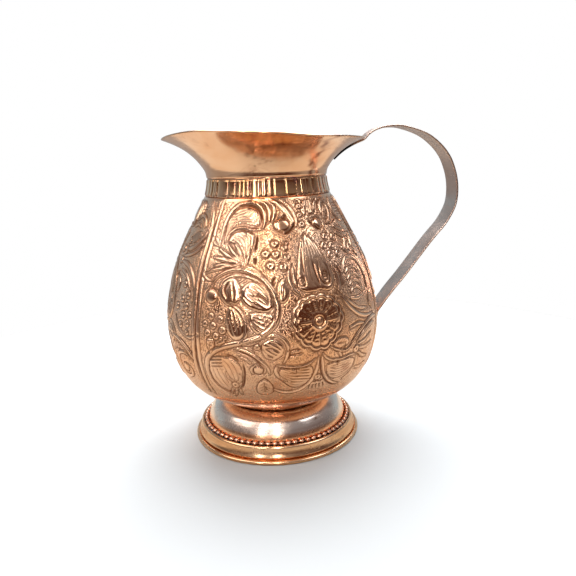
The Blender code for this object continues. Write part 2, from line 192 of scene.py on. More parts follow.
# Raised leaves: height and width of the rounded edge in millimetres, the outline, then the count of long
# ribs. A leaf without that count has veins.
LEAVES = (
    (0.9, 3.2, (
        (-34.5, 148), (-35, 157), (-33, 163.3), (-28, 168), (-19, 169.3), (-13, 167), (-10.8, 162),
        (-11.5, 158.5), (-16, 158.8), (-22, 160), (-28, 159), (-32.3, 154.5),
    ), 5),
    (1.1, 3.0, (
        (-31.6, 149), (-30, 152.4), (-26, 154.9), (-20, 155.2), (-14.8, 153), (-15, 147.5),
        (-17, 142.5), (-20, 139.5), (-23, 143), (-26.8, 147.4),
    ), 5),
    (1.0, 3.6, (
        (-26, 130), (-31, 127), (-33, 121), (-30.5, 115), (-26, 112), (-21.6, 114.6), (-20.4, 120),
        (-22.6, 126),
    ), 2),
    (1.0, 3.4, (
        (-20.4, 122), (-16, 126), (-10, 124.6), (-5.8, 119), (-4.6, 112), (-7.5, 108.6), (-13, 109.6),
        (-18, 112.6), (-20.6, 117),
    ), 4),
    (0.8, 2.4, (
        (-15.8, 108), (-10, 108), (-5, 106.6), (-4.2, 102.4), (-6.4, 97.6), (-10.4, 94.8), (-13.8, 97),
        (-16.4, 102.6),
    ), 4),
    (0.9, 2.6, (
        (-26.5, 111.4), (-21.6, 109), (-18.8, 102), (-19, 94.4), (-22.6, 91.4), (-26.6, 95), (-28, 103),
    ), 3),
    (1.2, 2.0, (
        (1.6, 128), (-1.4, 124.4), (-2.4, 119), (-1.6, 114.4), (0.6, 113.4), (2.9, 116.6), (3.2, 122),
    ), 4),
    (0.8, 1.2, ((-39, 90.5), (-38.6, 85), (-37, 81.8), (-35.2, 85.4), (-35.4, 90.5))),
    (0.7, 1.2, ((-33.6, 91.5), (-34, 87.2), (-31.6, 86.8), (-28.4, 90.4), (-30, 93))),
    (0.7, 2.4, (
        (-38.6, 75.6), (-35.6, 79), (-30, 80.2), (-24.6, 78.6), (-22, 74), (-21.5, 68), (-22.6, 61),
        (-25, 56.6), (-29, 55), (-34, 57), (-38, 62.4), (-39.2, 69),
    ), 6),
    (0.9, 1.6, (
        (-10.6, 66), (-13.4, 62.6), (-14.7, 58), (-14.2, 54.8), (-10.6, 53.2), (-7.1, 55), (-6.6, 59),
        (-8, 63),
    )),
    (0.8, 2.0, (
        (-10.4, 89.6), (-6, 91.8), (-2.4, 90), (-0.8, 86), (-1.8, 81.4), (-5, 79), (-8.4, 80),
        (-10.6, 84),
    ), 4),
    (0.9, 2.6, (
        (18, 152.4), (14.6, 148.8), (12.3, 143), (10.6, 137), (9.2, 130), (8.8, 123), (10.6, 119.4),
        (15, 118.4), (20.5, 119), (26, 117.8), (29.4, 121.4), (29.6, 128), (28, 135), (26, 141),
        (23.4, 146.6),
    ), 7),
    (0.8, 2.6, ((24, 168.6), (27, 172.6), (31.5, 172), (32, 167), (30.6, 163.8), (26.6, 163.6)), 4),
    (0.7, 2.2, (
        (-2.6, 72.6), (5, 71.4), (12.6, 72), (13.4, 66), (10.6, 60.4), (5, 58), (0.6, 61), (-2.6, 66.4),
    ), 6),
    (0.6, 1.8, (
        (22, 71.4), (28, 71), (35, 71.4), (40, 69), (39, 63.6), (33, 59.6), (26.6, 59.6), (22.4, 64.4),
    ), 6),
    (0.7, 1.6, ((24.6, 84.6), (28.4, 87.6), (33, 86.6), (34.6, 82.6), (30.6, 80.4), (26.6, 81.6))),
    (0.7, 2.4, (
        (-53, 73), (-56, 78), (-62, 81.6), (-69, 81.8), (-70.6, 77), (-66, 77.4), (-59.6, 78.4),
        (-56, 75.6),
    ), 4),
    (0.8, 2.2, ((37.6, 160.4), (39.6, 164), (43.4, 167), (45.6, 165.4), (44, 161.6), (40.6, 159.6)), 3),
    (0.8, 1.8, ((55, 139), (52.6, 136.6), (50.4, 138.6), (51.6, 142), (54.6, 144))),
    (0.7, 2.0, ((-55, 152), (-59, 148.6), (-65, 146.4), (-70, 147.4), (-66, 151.4), (-60, 153.6)), 5),
)

# Tapered fingers of the open leaves: half width at the root, height, root, middle, tip.
FINGERS = (
    (1.7, 1.2, ((-20, 136), (-28, 140), (-37, 145))),
    (1.5, 1.2, ((-21, 135.6), (-30, 138.2), (-39.6, 139.6))),
    (1.3, 1.1, ((-23, 134.8), (-31, 135.6), (-38.4, 134.6))),
    (1.5, 1.2, ((-20, 136), (-26, 142), (-31, 147.6))),
    (1.3, 1.2, ((-20, 136), (-22.6, 142), (-26.4, 147.6))),
    (1.2, 1.2, ((-19.4, 136), (-20, 141.6), (-22, 146))),
    (1.2, 1.1, ((-18.8, 136), (-17.6, 141), (-17, 146.4))),
    (1.0, 0.9, ((-26, 62), (-29, 66), (-29.6, 69.4))),
    (1.0, 0.9, ((-26, 61), (-22.6, 64.6), (-22.6, 68.6))),
    (0.9, 0.8, ((-27, 58.6), (-28.6, 55.6), (-30.4, 52))),
    (0.9, 0.8, ((-25.6, 58.4), (-26.4, 55), (-27.4, 51.4))),
    (0.9, 0.8, ((-24.4, 58.6), (-24, 55.6), (-23.8, 52.4))),
    (1.0, 0.9, ((-19.6, 88.4), (-16.6, 89.2), (-12, 91))),
    (1.0, 0.9, ((-20, 87.2), (-17, 86.4), (-14.8, 84))),
    (1.2, 1.0, ((44, 141), (48, 138), (54, 136.4))),
    (1.2, 1.0, ((40, 110), (46, 109), (54, 111))),
    (1.2, 1.0, ((36, 92), (42, 93), (48, 91.4))),
    (1.0, 0.8, ((30, 74.6), (29, 78), (31.4, 81))),
    (1.2, 0.9, ((43, 79), (49, 79.6), (56, 82.6))),
    (1.2, 0.9, ((43.6, 76), (50, 74.4), (58, 75.4))),
    (1.2, 0.9, ((43, 73), (48, 68.6), (54, 66.4))),
    (1.1, 0.8, ((42, 62), (48, 60.4), (54, 61.6))),
    (1.0, 0.8, ((-46, 131), (-42, 127), (-38.4, 126))),
    (1.0, 0.8, ((-46, 152), (-42, 148), (-39, 146.6))),
)

# Beads with a punched eye: place and radius in millimetres.
EYES = (
    (-2, 147.5, 2.4), (-7.6, 142, 2.6), (-1.8, 141.6, 2.4), (-5, 135, 2.5), (3.6, 145, 2.1),
    (4.6, 139.4, 2.0), (2, 134, 2.5), (33, 149, 2.3), (39.8, 148, 2.4), (29.6, 144, 2.4),
    (35.8, 143.2, 2.4), (32.2, 138.2, 2.4), (38.4, 138, 2.2), (18, 157.8, 2.2), (18, 163.4, 1.7),
    (19, 168.6, 1.8), (-38.5, 94.4, 2.3), (-33.6, 93, 2.2), (-30, 97, 2.4), (-35.2, 99.4, 2.2),
    (-36.4, 105, 2.2), (-31.2, 103.6, 2.2), (-40, 100, 2.0), (-28.6, 92.6, 1.5), (-13, 87.4, 2.0),
    (-26, 60.4, 2.3), (41, 76, 2.8), (16.6, 63.4, 2.2), (-58.4, 121.6, 2.3), (-54, 115, 2.2),
    (-59, 112, 2.2), (-54.6, 108.4, 2.3), (-51.4, 103.4, 2.1), (-57, 102.4, 2.3), (-53, 97.4, 2.2),
    (-59, 95.6, 2.2), (-63.6, 107, 2.3), (-53.4, 91.6, 2.0), (40.6, 162.6, 1.4), (24.6, 127.4, 1.6),
    (10.6, 125.4, 1.5),
)

# Smooth round bosses: place, half width round and half height in millimetres, height.
BOSSES = (
    (3.6, 158, 5.0, 4.2, 1.7), (-37, 117, 4.2, 4.4, 1.5),
    (30.4, 157.4, 3.6, 3.6, 1.3),
    (-13, 72.2, 2.9, 3.0, 0.9),
    (5.6, 147.6, 1.0, 1.0, 0.6),
    (-59.6, 65.6, 3.0, 3.2, 0.9),
    (9.4, 112.8, 1.0, 1.0, 0.6),
)

# Chased lines: half width and depth in millimetres, then the line.
CUTS = (
    (0.6, 0.8, (
        (-46.3, 172), (-46.4, 158), (-46.6, 140), (-46.4, 120), (-46.4, 100), (-47, 85), (-47.4, 72),
        (-46.4, 60), (-44.8, 50),
    )),
    (0.7, 0.9, ((-30, 169.6), (-22, 170.6), (-15, 169.2), (-10.6, 165.4), (-9.4, 160))),
    (0.7, 1.1, ((-12.6, 152.6), (-13, 148), (-14, 143.6))),
    (0.8, 1.1, ((-13.6, 140), (-13.4, 136.4))),
    (0.8, 1.2, ((24, 160), (27, 156.8), (31.4, 153.4))),
    (0.8, 1.0, ((6.2, 165), (6.6, 162), (3.4, 162.6))),
    (0.9, 1.0, ((4.4, 153), (8.6, 154.6), (12.4, 158.4))),
    (0.6, 0.8, ((-14, 118), (-10.6, 117.4), (-7.6, 114.8), (-6.8, 112))),
    (0.7, 0.9, ((18.8, 136), (19.4, 129), (20.8, 121))),
    (0.6, 0.8, ((13.6, 144), (12.6, 136), (13, 128))),
    (0.6, 0.8, (
        (21.8, 138), (21.4, 130), (22.4, 123.4), (25.6, 121.6), (27.6, 125), (27.2, 131), (25, 136),
    )),
    (0.5, 0.6, ((23.4, 129.4), (23.4, 125.4), (25, 123.8), (26.2, 126.6), (25.4, 130.4))),
    (0.5, 0.7, ((9.4, 128.4), (9.8, 123.2), (12.2, 122.2), (12.6, 126), (11, 129.4))),
    (0.7, 0.9, ((-2.6, 128.4), (-4.2, 126), (-4, 122.6))),
    (0.6, 0.9, ((-20.3, 76), (-20, 70), (-21, 62.6), (-23, 57.6))),
    (0.6, 0.8, ((-29, 81.6), (-25, 80.6), (-21.8, 77.6))),
    (0.5, 0.7, ((-24, 85), (-18, 82.4), (-13.4, 78), (-10.6, 73))),
    (0.6, 0.9, ((43, 84.2), (48, 87.6), (54, 89.9), (60, 90.2))),
    (0.6, 0.8, ((17.7, 79), (18, 72), (18.8, 66), (21.4, 60), (25.4, 55.6), (31, 52.6))),
    (0.5, 0.7, ((27.8, 73), (27.9, 68))),
    (0.5, 0.7, ((5.3, 73), (5.4, 68.4))),
    (0.5, 0.6, ((-10.4, 60.4), (-9.4, 57.2))),
    (0.5, 0.6, ((-9, 86.6), (-5.4, 86), (-2.4, 83.6))),
    (0.5, 0.6, ((-8.6, 82.4), (-5.4, 80.4))),
    (0.5, 0.6, ((-6.6, 90.4), (-3.6, 88.4))),
    (0.6, 0.8, ((-61, 86.8), (-56, 83.6), (-52, 80), (-50.4, 76))),
    (0.7, 0.9, ((-27.6, 126), (-29.4, 121), (-27.4, 116.4))),
    (0.5, 0.6, ((-19.4, 158.4), (-17, 156.8), (-12.4, 157.6))),
    (0.6, 0.7, ((34.4, 163), (37, 168.4), (42, 172.4))),
    (0.6, 0.8, ((36.6, 157), (41, 156), (46, 156.8), (53, 159))),
    (0.6, 0.7, ((48.6, 171), (50.4, 166), (47.8, 160.4))),
    (0.5, 0.7, ((13, 60.4), (14.6, 60), (16.6, 60.4), (18.6, 60), (20.4, 60.8))),
    (0.4, 0.6, ((13, 58.6), (12.2, 55))),
    (0.4, 0.6, ((14.8, 58.6), (14.4, 54.6))),
    (0.4, 0.6, ((16.6, 58.6), (16.6, 54.2))),
    (0.4, 0.6, ((18.4, 58.6), (18.8, 54.6))),
    (0.4, 0.6, ((20.2, 58.8), (21.2, 55.2))),
    (0.5, 0.7, ((2, 83.6), (5, 84.8), (8, 84))),
    (0.5, 0.7, ((1.6, 81), (5, 81.4), (9, 82.2))),
    (0.5, 0.6, ((1.4, 86), (2.4, 82), (1.4, 78))),
    (0.5, 0.6, ((32, 84), (32.4, 80), (31.8, 77))),
)

# Fields of short parallel cuts: direction in degrees, pitch and depth in millimetres, then the outline.
HATCHES = (
    (4, 2.1, 0.5, ((-33.6, 167), (-27, 167.4), (-26, 159.6), (-33.4, 158.6))),
    (12, 1.3, 0.4, ((-29, 153.6), (-23, 154), (-22, 149), (-28.6, 149))),
    (35, 1.5, 0.5, ((-24, 128.6), (-16.4, 128.4), (-15.4, 125), (-22.6, 123.8))),
    (100, 1.3, 0.5, ((-12, 108), (-5.4, 109), (-5.6, 101), (-9.6, 98.6))),
    (8, 2.4, 0.5, ((-37.6, 79.6), (-30.6, 79.6), (-30.4, 70.6), (-38.6, 70.4))),
    (-6, 2.3, 0.5, ((1.6, 71.6), (12.8, 71.6), (12.6, 62), (2, 61))),
    (-20, 2.1, 0.5, ((23, 70.6), (27.4, 70.6), (28, 60), (23, 62))),
    (30, 2.4, 0.4, ((-54.6, 78), (-69, 81.6), (-70, 77), (-57, 74.6))),
    (8, 2.0, 0.5, ((-71, 170), (-60, 170), (-60, 164.6), (-71, 165.6))),
    (80, 1.8, 0.4, ((24.6, 171.6), (31, 171.6), (30, 164.6), (26, 164.6))),
    (-4, 2.0, 0.5, ((55, 170), (66, 170), (66, 160), (57, 160))),
    (20, 2.0, 0.4, ((30.6, 70), (39, 68.6), (37, 62), (31, 61))),
)

FLOWER = (17.6, 100.4)
FLOWER_PETALS = 14

# The panel is drawn whole on the front and the back, and its part between these degrees on the two sides.
PANEL_TURNS = (0.0, 180.0)
FILL_TURNS = (113.0, -67.0)
FILL_SPAN = (-47.0, -1.0)

# The belly's height field: columns and rows, share kept of the drawn heights, and millimetres once round.
AROUND = 800
UP = 288
RELIEF = 0.62
BELLY_MM = BELLY_R * 1000.0
LAP = 2 * math.pi * BELLY_MM

COLS = 192
FLUTE_COLS = 18
MOUTH_COLS = 288
BEAD_COLS = 10
STRAP_STEPS = 150
STRAP_EASE = 0.00035

WHITE = (1.0, 1.0, 1.0)
FLOOR_R = 0.42
FLOOR_SIDES = 96
FLOOR_SHOWN = (0.49, 0.50, 0.505)
FLOOR_TONE = (0.38, 0.34, 0.28)
ROOM_FRONT = (0.085, 0.035, 0.022)
ROOM_HIGH = (0.27, 0.27, 0.29)
ROOM_SIDE = (0.16, 0.16, 0.17)
ROOM_BACK = (0.42, 0.54, 0.61)
TABLE_TONE = (0.42, 0.42, 0.42)

# Copper tones: light, warm, and the dark of hollows, which is patina on the belly and painted shade between
# the beads and under the mouth, or the brown of stains.
CHASED_TONES = ((0.94, 0.60, 0.41), (0.88, 0.45, 0.23), (0.15, 0.042, 0.015))
BEAD_TONES = ((0.98, 0.68, 0.52), (0.80, 0.36, 0.20), (0.30, 0.07, 0.03))
COLLAR_TONES = ((0.92, 0.55, 0.35), (0.76, 0.40, 0.17), (0.14, 0.04, 0.03))
MOUTH_TONES = ((0.87, 0.56, 0.37), (0.78, 0.42, 0.23), (0.24, 0.07, 0.03))
SKIRT_TONES = ((0.94, 0.60, 0.36), (0.87, 0.49, 0.26), (0.46, 0.20, 0.09))
FOOT_TONES = ((0.88, 0.72, 0.62), (0.84, 0.62, 0.50), (0.38, 0.19, 0.12))
STRAP_TONES = ((0.60, 0.46, 0.39), (0.46, 0.33, 0.27), (0.24, 0.14, 0.11))
SPOT_TONE = (0.16, 0.06, 0.03)
WARM_TINT = (0.86, 0.45, 0.25)
# Near black, for the painted shadow on the strap's upper end where it tucks under the mouth.
SHADOW_BLACK = (0.012, 0.010, 0.009)
RED_BLUSH = (0.55, 0.20, 0.11)
PLUM_BLUSH = (0.32, 0.09, 0.10)

# Name, azimuth and elevation seen from the jug, distance, width, height, watts, colour.
LIGHTS = (
    ("strip_left", -31.0, 33.0, 1.5, 0.08, 1.5, 6.0, (1.0, 0.97, 0.93)),
    ("strip_right", -6.5, 33.0, 1.5, 0.08, 1.5, 6.5, (1.0, 0.97, 0.93)),
    ("window_left", -75.0, 42.0, 1.6, 1.0, 0.9, 7.5, (1.0, 0.98, 0.95)),
    ("window_right", 62.0, 50.0, 1.7, 0.7, 0.8, 6.0, (0.86, 0.94, 1.0)),
    ("overhead", 170.0, 66.0, 1.5, 1.5, 1.3, 64.0, (0.95, 0.98, 1.0)),
)
LIGHTS_AIM = Vector((AXIS_X, 0.0, 0.11))

CAMERA_AT = (-0.0652, -0.4041, 0.1983)
CAMERA_YAW = 6.678
CAMERA_PITCH = 12.740
CAMERA_ROLL = -2.112
CAMERA_LENS = 36.0
CAMERA_SENSOR = 36.0


# ---------------------------------------------------------------- curves


def unit(x):
    """The values, held between 0 and 1."""
    return np.clip(x, 0.0, 1.0)


def bell(x, width):
    """A soft peak of 1 where x is 0."""
    return np.exp(-((x / width) ** 2))


def curve_through(points, per_span):
    """A soft curve from the second point to the last but one, cut into per_span steps a span."""
    t = np.linspace(0.0, 1.0, per_span, endpoint=False)[:, None]
    spans = []
    for a, b, c, d in zip(points[:-3], points[1:-2], points[2:-1], points[3:]):
        span = 2 * b + (c - a) * t
        span = span + (2 * a - 5 * b + 4 * c - d) * t**2
        span = span + (3 * b - a - 3 * c + d) * t**3
        spans.append(0.5 * span)
    return np.vstack(spans)


def smooth_line(points, per_span):
    """A soft curve through all the points."""
    p = np.asarray(points, float)
    longer = np.vstack([2 * p[0] - p[1], p, 2 * p[-1] - p[-2]])
    return np.vstack([curve_through(longer, per_span), p[-1:]])


def closed_section(points, per_span):
    """A soft closed curve through all the points."""
    p = np.asarray(points, float)
    return curve_through(np.vstack([p[-1:], p, p[:2]]), per_span)


def even_line(points, count):
    """The soft curve through the points, given as count evenly spaced places."""
    fine = smooth_line(points, 24)
    run = np.concatenate([[0.0], np.cumsum(np.linalg.norm(np.diff(fine, axis=0), axis=1))])
    at = np.linspace(0.0, run[-1], count)
    return np.stack([np.interp(at, run, fine[:, k]) for k in range(fine.shape[1])], axis=1)


def headings(line):
    """Unit directions along the line."""
    run = np.gradient(line, axis=0)
    return run / np.linalg.norm(run, axis=1)[:, None]


def offset(line, distance):
    """The line moved sideways, to the left of its run."""
    run = headings(line)
    return line + np.stack([-run[:, 1], run[:, 0]], axis=1) * distance


def smooth_value(at, values, where):
    """Value at one place on a soft curve through the given ones, level at both ends."""
    at = np.asarray(at)
    values = np.asarray(values)
    slope = np.gradient(values, at)
    slope[0] = 0.0
    slope[-1] = 0.0
    i = int(np.clip(np.searchsorted(at, where, side="right") - 1, 0, len(at) - 2))
    span = at[i + 1] - at[i]
    t = (where - at[i]) / span
    start = values[i] * (2 * t**3 - 3 * t**2 + 1) + slope[i] * span * (t**3 - 2 * t**2 + t)
    end = values[i + 1] * (3 * t**2 - 2 * t**3) + slope[i + 1] * span * (t**3 - t**2)
    return float(start + end)


# ---------------------------------------------------------------- worked pattern


class Pattern:
    """Heights in millimetres over the belly, drawn on a flat map of it where shapes keep their angles."""

    def __init__(self):
        self.line = even_line(BELLY, UP)
        step = np.linalg.norm(np.diff(self.line, axis=0), axis=1)
        mid = (self.line[1:, 0] + self.line[:-1, 0]) / 2
        # u and v are millimetres round and up on the map, and k is a map millimetre's true size in each row.
        self.u = np.arange(AROUND) * LAP / AROUND
        self.v = np.concatenate([[0.0], np.cumsum(step * BELLY_MM / mid)])
        self.k = self.line[:, 0] / BELLY_R
        self.high = np.zeros((UP, AROUND))
        self.cut = np.zeros((UP, AROUND))
        self.turn = 0.0
        self.keep = None

    def place(self, points):
        """Places on the belly as places on the map."""
        p = np.asarray(points, float)
        u = np.radians(p[:, 0] + self.turn) * BELLY_MM
        v = np.interp(p[:, 1] / 1000.0, self.line[:, 1], self.v)
        return np.stack([u, v], axis=1)

    def skip(self, points):
        """Whether the shape lies outside the part of the panel that is being drawn."""
        if self.keep is None:
            return False
        at = np.mean([p[0] for p in points])
        return not self.keep[0] < at < self.keep[1]

    def window(self, p, pad):
        """The map near the points: index, x, y, the points measured from the same middle, and k there."""
        pad = pad * 1.8
        mid = (p[:, 0].min() + p[:, 0].max()) / 2
        half = (p[:, 0].max() - p[:, 0].min()) / 2 + pad
        du = (self.u - mid + LAP / 2) % LAP - LAP / 2
        cols = np.nonzero(np.abs(du) < half)[0]
        rows = np.nonzero((self.v > p[:, 1].min() - pad) & (self.v < p[:, 1].max() + pad))[0]
        gx = du[cols][None, :]
        gy = self.v[rows][:, None]
        return np.ix_(rows, cols), gx, gy, p - (mid, 0.0), self.k[rows][:, None]

    def reach(self, q, gx, gy):
        """Distance to the line q on the map, and the share of the line at the nearest point."""
        best = np.full((gy.shape[0], gx.shape[1]), 1e9)
        share = np.zeros_like(best)
        count = len(q) - 1
        for i in range(count):
            a = q[i]
            d = q[i + 1] - a
            t = unit(((gx - a[0]) * d[0] + (gy - a[1]) * d[1]) / max(d @ d, 1e-9))
            gap = np.hypot(gx - a[0] - t * d[0], gy - a[1] - t * d[1])
            nearer = gap < best
            best = np.where(nearer, gap, best)
            share = np.where(nearer, (i + t) / count, share)
        return best, share

    def inside(self, q, gx, gy):
        """Which map points lie inside the closed line q."""
        inner = np.zeros((gy.shape[0], gx.shape[1]), bool)
        for a, b in zip(q, np.roll(q, -1, axis=0)):
            if a[1] == b[1]:
                continue
            crosses = (a[1] > gy) != (b[1] > gy)
            at = (b[0] - a[0]) * (gy - a[1]) / (b[1] - a[1]) + a[0]
            inner ^= crosses & (gx < at)
        return inner

    def raise_to(self, ix, height):
        self.high[ix] = np.maximum(self.high[ix], height)

    def cut_to(self, ix, depth):
        self.cut[ix] = np.maximum(self.cut[ix], depth)

    def clear(self, ix, where):
        self.cut[ix] = np.where(where, 0.0, self.cut[ix])

    def near_line(self, points, per_span, pad):
        """Map index near a soft line, the true distance to it in millimetres, and the share along it."""
        ix, gx, gy, q, k = self.window(self.place(smooth_line(points, per_span)), pad)
        gap, share = self.reach(q, gx, gy)
        return ix, gap * k, share

    def stem(self, half, height, points):
        """A round-backed line with pointed ends."""
        if self.skip(points):
            return
        ix, gap, share = self.near_line(points, 5, half + 1.6)
        ends = unit(np.minimum(share, 1 - share) * 5.0)
        wide = half * (0.35 + 0.65 * ends)
        self.raise_to(ix, height * RELIEF * unit(1 - (gap / wide) ** 2) ** 0.6)
        self.cut_to(ix, 0.42 * bell(gap - wide - 0.30, 0.36))
        if half >= 1.3:
            self.cut_to(ix, 0.22 * ends * bell(gap - half * 0.35, 0.3))

    def finger(self, half, height, points):
        """A narrow tongue with a middle vein."""
        if self.skip(points):
            return
        ix, gap, share = self.near_line(points, 6, half + 1.6)
        wide = half * (0.75 + 0.7 * share - 1.15 * share**3)
        self.raise_to(ix, height * RELIEF * unit(1 - gap / wide) ** 0.6)
        self.cut_to(ix, 0.45 * bell(gap - wide - 0.25, 0.36))
        self.cut_to(ix, 0.30 * bell(gap, 0.32) * (share > 0.1) * (share < 0.8))

    def groove(self, p, half, depth):
        """A chased line through map places, shallower at its ends."""
        ix, gx, gy, q, k = self.window(p, half + 1.2)
        gap, share = self.reach(q, gx, gy)
        ends = np.clip(np.minimum(share, 1 - share) * 6.0, 0.25, 1.0)
        self.cut_to(ix, depth * ends * bell(gap * k, half))

    def longest_run(self, p):
        """Indices of the two points of an outline that lie furthest apart."""
        gap = np.linalg.norm(p[:, None] - p[None, :], axis=2)
        return np.unravel_index(np.argmax(gap), gap.shape)

    def veins(self, p):
        """A middle vein along the leaf's longest run, and slanting side veins."""
        i, j = self.longest_run(p)
        a = p[i]
        run = p[j] - a
        length = float(np.linalg.norm(run))
        way = run / length
        side = np.array([-way[1], way[0]])
        off = (p - a) @ side
        bow = side * (off.max() + off.min()) * 0.5
        spine = [a + run * t + bow * math.sin(math.pi * t) for t in np.linspace(0.12, 0.86, 9)]
        self.groove(np.stack(spine), 0.42, 0.45)
        for t in np.arange(0.22, 0.80, 2.3 / max(length, 4.0)):
            start = a + run * t + bow * math.sin(math.pi * t)
            room = math.sin(math.pi * min(t + 0.12, 1.0))
            for sign, wide in ((1.0, float(off.max())), (-1.0, float(-off.min()))):
                reach = max(wide - sign * float(bow @ side), 0.5) * 0.74 * room
                tip = start + side * sign * reach + way * reach * 0.7
                self.groove(np.stack([start, (start + tip) / 2 + way * 0.2, tip]), 0.34, 0.34)

    def ribs(self, p, count):
        """Fine lines that run the length of the leaf, spread evenly between its two edges."""
        i, j = self.longest_run(p)
        a = p[i]
        run = p[j] - a
        way = run / (run @ run)
        side = np.array([-run[1], run[0]]) / np.linalg.norm(run)
        loop = np.roll(p, -i, axis=0)
        turn = (j - i) % len(p)
        at = np.linspace(0.07, 0.90, 11)
        sides = []
        for chain in (loop[: turn + 1], np.vstack([loop[turn:], loop[:1]])):
            along = (chain - a) @ way
            order = np.argsort(along)
            sides.append(np.interp(at, along[order], ((chain - a) @ side)[order]))
        for rib in range(1, count + 1):
            share = rib / (count + 1)
            off = sides[0] * (1 - share) + sides[1] * share
            line = a + at[:, None] * run + off[:, None] * side
            self.groove(line[(rib % 2) : 11 - (rib + 1) % 2], 0.34, 0.38)

    def leaf(self, height, edge, points, ribs=0):
        """A raised area with a rounded edge, marked with so many long ribs, or else with veins."""
        if self.skip(points):
            return
        p = self.place(smooth_line(list(points) + [points[0]], 5))
        ix, gx, gy, q, k = self.window(p, 2.0)
        gap = self.reach(q, gx, gy)[0] * k
        inner = self.inside(q, gx, gy)
        rise = np.sin(unit(gap / edge) * math.pi / 2)
        self.raise_to(ix, np.where(inner, (0.22 + (height - 0.22) * rise) * RELIEF, 0.0))
        self.cut_to(ix, np.where(inner, 0.0, 0.55 * bell(gap - 0.2, 0.38)))
        if ribs:
            self.ribs(p[:-1], ribs)
        else:
            self.veins(p[:-1])

    def boss(self, at, up, half_u, half_v, height, eye=0.0):
        """A domed boss with a ring cut round it and, where eye is set, a punched middle."""
        if self.skip([(at, up)]):
            return
        ix, gx, gy, q, k = self.window(self.place([(at, up)]), max(half_u, half_v) + 1.6)
        gap = np.hypot((gx - q[0, 0]) * k / half_u, (gy - q[0, 1]) * k / half_v)
        size = (half_u + half_v) / 2
        body = height * RELIEF * unit(1 - gap**2) ** 0.45
        self.high[ix] = np.where(gap < 1.0, body, self.high[ix])
        self.clear(ix, gap < 0.95)
        self.cut_to(ix, 0.55 * bell((gap - 1.0) * size - 0.25, 0.38))
        if eye > 0:
            self.cut_to(ix, eye * bell(gap * size, 0.72))

    def line_cut(self, half, depth, points):
        if not self.skip(points):
            self.groove(self.place(smooth_line(points, 5)), half, depth)

    def hatch(self, direction, pitch, depth, points):
        """Short parallel cuts that fade out at the edge of their field."""
        if self.skip(points):
            return
        ix, gx, gy, q, k = self.window(self.place(list(points) + [points[0]]), 1.0)
        inner = self.inside(q[:-1], gx, gy)
        gap, _ = self.reach(q, gx, gy)
        turn = math.radians(direction)
        size = float(np.mean(k))
        across = (-(gx - q[0, 0]) * math.sin(turn) + (gy - q[0, 1]) * math.cos(turn)) * size
        lines = (0.5 + 0.5 * np.cos(across * 2 * math.pi / pitch)) ** 2.2
        self.cut_to(ix, np.where(inner, depth * lines * unit(gap * size / 1.2), 0.0))

    def flower(self, at, up, petals):
        """A round flower: ragged hollow petals with a spoke each, a raised collar and a knob."""
        if self.skip([(at, up)]):
            return
        ix, gx, gy, q, k = self.window(self.place([(at, up)]), 21.0)
        size = float(np.mean(k[np.argsort(np.abs(gy[:, 0] - q[0, 1]))[:20]]))
        x = (gx - q[0, 0]) * size
        y = (gy - q[0, 1]) * size
        ring = np.hypot(x, y)
        turn = np.arctan2(y, x)
        between = np.abs(np.cos(turn * petals / 2))
        spoke_gap = np.abs(np.sin(turn * petals / 2)) * ring
        edge = 13.8 + 1.7 * between**0.6 + 0.7 * np.sin(turn * 3 + 0.6) + 0.4 * np.sin(turn * 5 + 2.0)
        lip = edge + 1.3
        over = ring < edge + 2.6
        body = self.flower_body(ring, turn, edge, lip, spoke_gap)
        self.high[ix] = np.where(over, body, self.high[ix])
        self.clear(ix, over)
        for cut in self.flower_cuts(ring, edge, lip, spoke_gap, between):
            self.cut_to(ix, cut)

    def flower_body(self, ring, turn, edge, lip, spoke_gap):
        hollow = 0.30 + 0.35 * unit((ring - 5.0) / 9.0) ** 2
        petal = hollow * unit((edge - ring) / 1.2) ** 0.5
        spoke = unit(1 - (spoke_gap / 1.15) ** 2)
        petal += 0.75 * spoke**0.5 * unit((13.4 - ring) / 1.6) * (ring > 5.6)
        petal = np.maximum(petal, 0.8 * unit(1 - ((ring - lip) / 1.25) ** 2) ** 0.6)
        low_side = 0.35 + 0.65 * unit(0.6 - np.sin(turn))
        collar = 1.3 * low_side * unit(1 - ((ring - 4.7) / 1.15) ** 2) ** 0.6
        knob = 1.3 * unit(1 - (ring / 2.3) ** 2) ** 0.5
        return RELIEF * np.maximum(np.maximum(petal, collar), knob)

    def flower_cuts(self, ring, edge, lip, spoke_gap, between):
        furrow = 0.6 * bell(between * ring, 1.0) * (ring > 6.0) * (ring < edge + 1.0)
        flank = 0.4 * bell(spoke_gap - 1.7, 0.6) * (ring > 6.0) * (ring < 12.4)
        rim = 0.6 * bell(ring - lip - 1.45, 0.4) + 0.6 * bell(ring - 3.0, 0.38)
        rim += 0.45 * bell(ring - edge + 0.2, 0.35)
        return furrow, flank, rim, 0.9 * bell(ring, 0.8)

    def draw(self):
        for draw_one, shapes in (
            (self.leaf, LEAVES),
            (self.stem, STEMS),
            (self.finger, FINGERS),
            (self.boss, BOSSES),
            (self.grape, EYES),
            (self.line_cut, CUTS),
            (self.hatch, HATCHES),
        ):
            for shape in shapes:
                draw_one(*shape)
        self.flower(*FLOWER, FLOWER_PETALS)

    def grape(self, at, up, size):
        self.boss(at, up, size, size, 0.85, eye=0.75)


def soften(field, times):
    """The field averaged with its neighbours so many times; it closes on itself round the jug."""
    out = field
    for _ in range(times):
        side = (np.roll(out, 1, axis=1) + np.roll(out, -1, axis=1) + 2 * out) / 4
        edge = np.vstack([side[:1], side, side[-1:]])
        out = (edge[:-2] + edge[2:] + 2 * side) / 4
    return out


